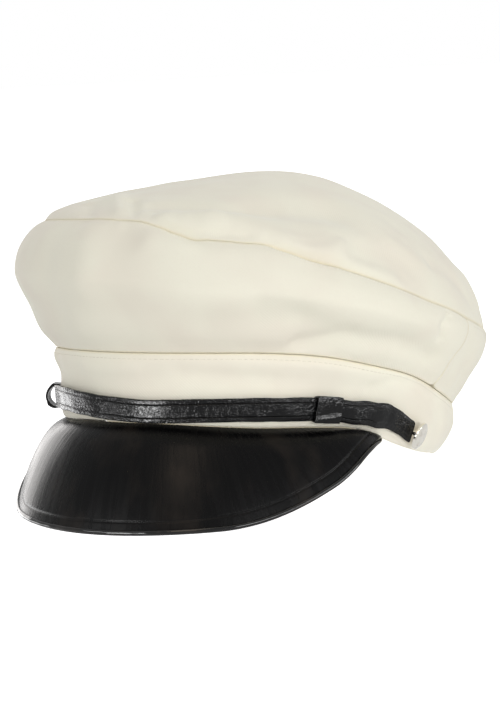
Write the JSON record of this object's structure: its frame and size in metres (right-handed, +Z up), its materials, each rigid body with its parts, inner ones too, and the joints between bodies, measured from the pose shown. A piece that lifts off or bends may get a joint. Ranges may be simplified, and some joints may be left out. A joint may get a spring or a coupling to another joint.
{
  "type": "sailor cap",
  "caption": "Soft peaked cap with a full slouched crown on an upright band, a glossy peak, and a strap across the front held by studs and sliding loops.",
  "frame": {"origin": "on the surface the cap rests on, under the middle of its overall box", "axes": "+Z up, -Y to the front (the peak), +X to the wearer's left"},
  "size_m": [0.2148, 0.261, 0.1478],
  "materials": {
    "crown_cloth": "matte cream cotton twill",
    "peak_vinyl": "high gloss black vinyl",
    "strap_leather": "glossy black patent, crinkled",
    "stud_metal": "polished pale metal"
  },
  "bodies": {
    "root": {"crown_tip": "crown_cloth", "crown_side_front": "crown_cloth", "crown_side_rear": "crown_cloth", "band": "crown_cloth", "peak": "peak_vinyl", "chin_strap": "strap_leather", "keeper_left": "strap_leather", "keeper_right": "strap_leather", "stud_left": "stud_metal", "stud_right": "stud_metal"}
  },
  "joints": []
}
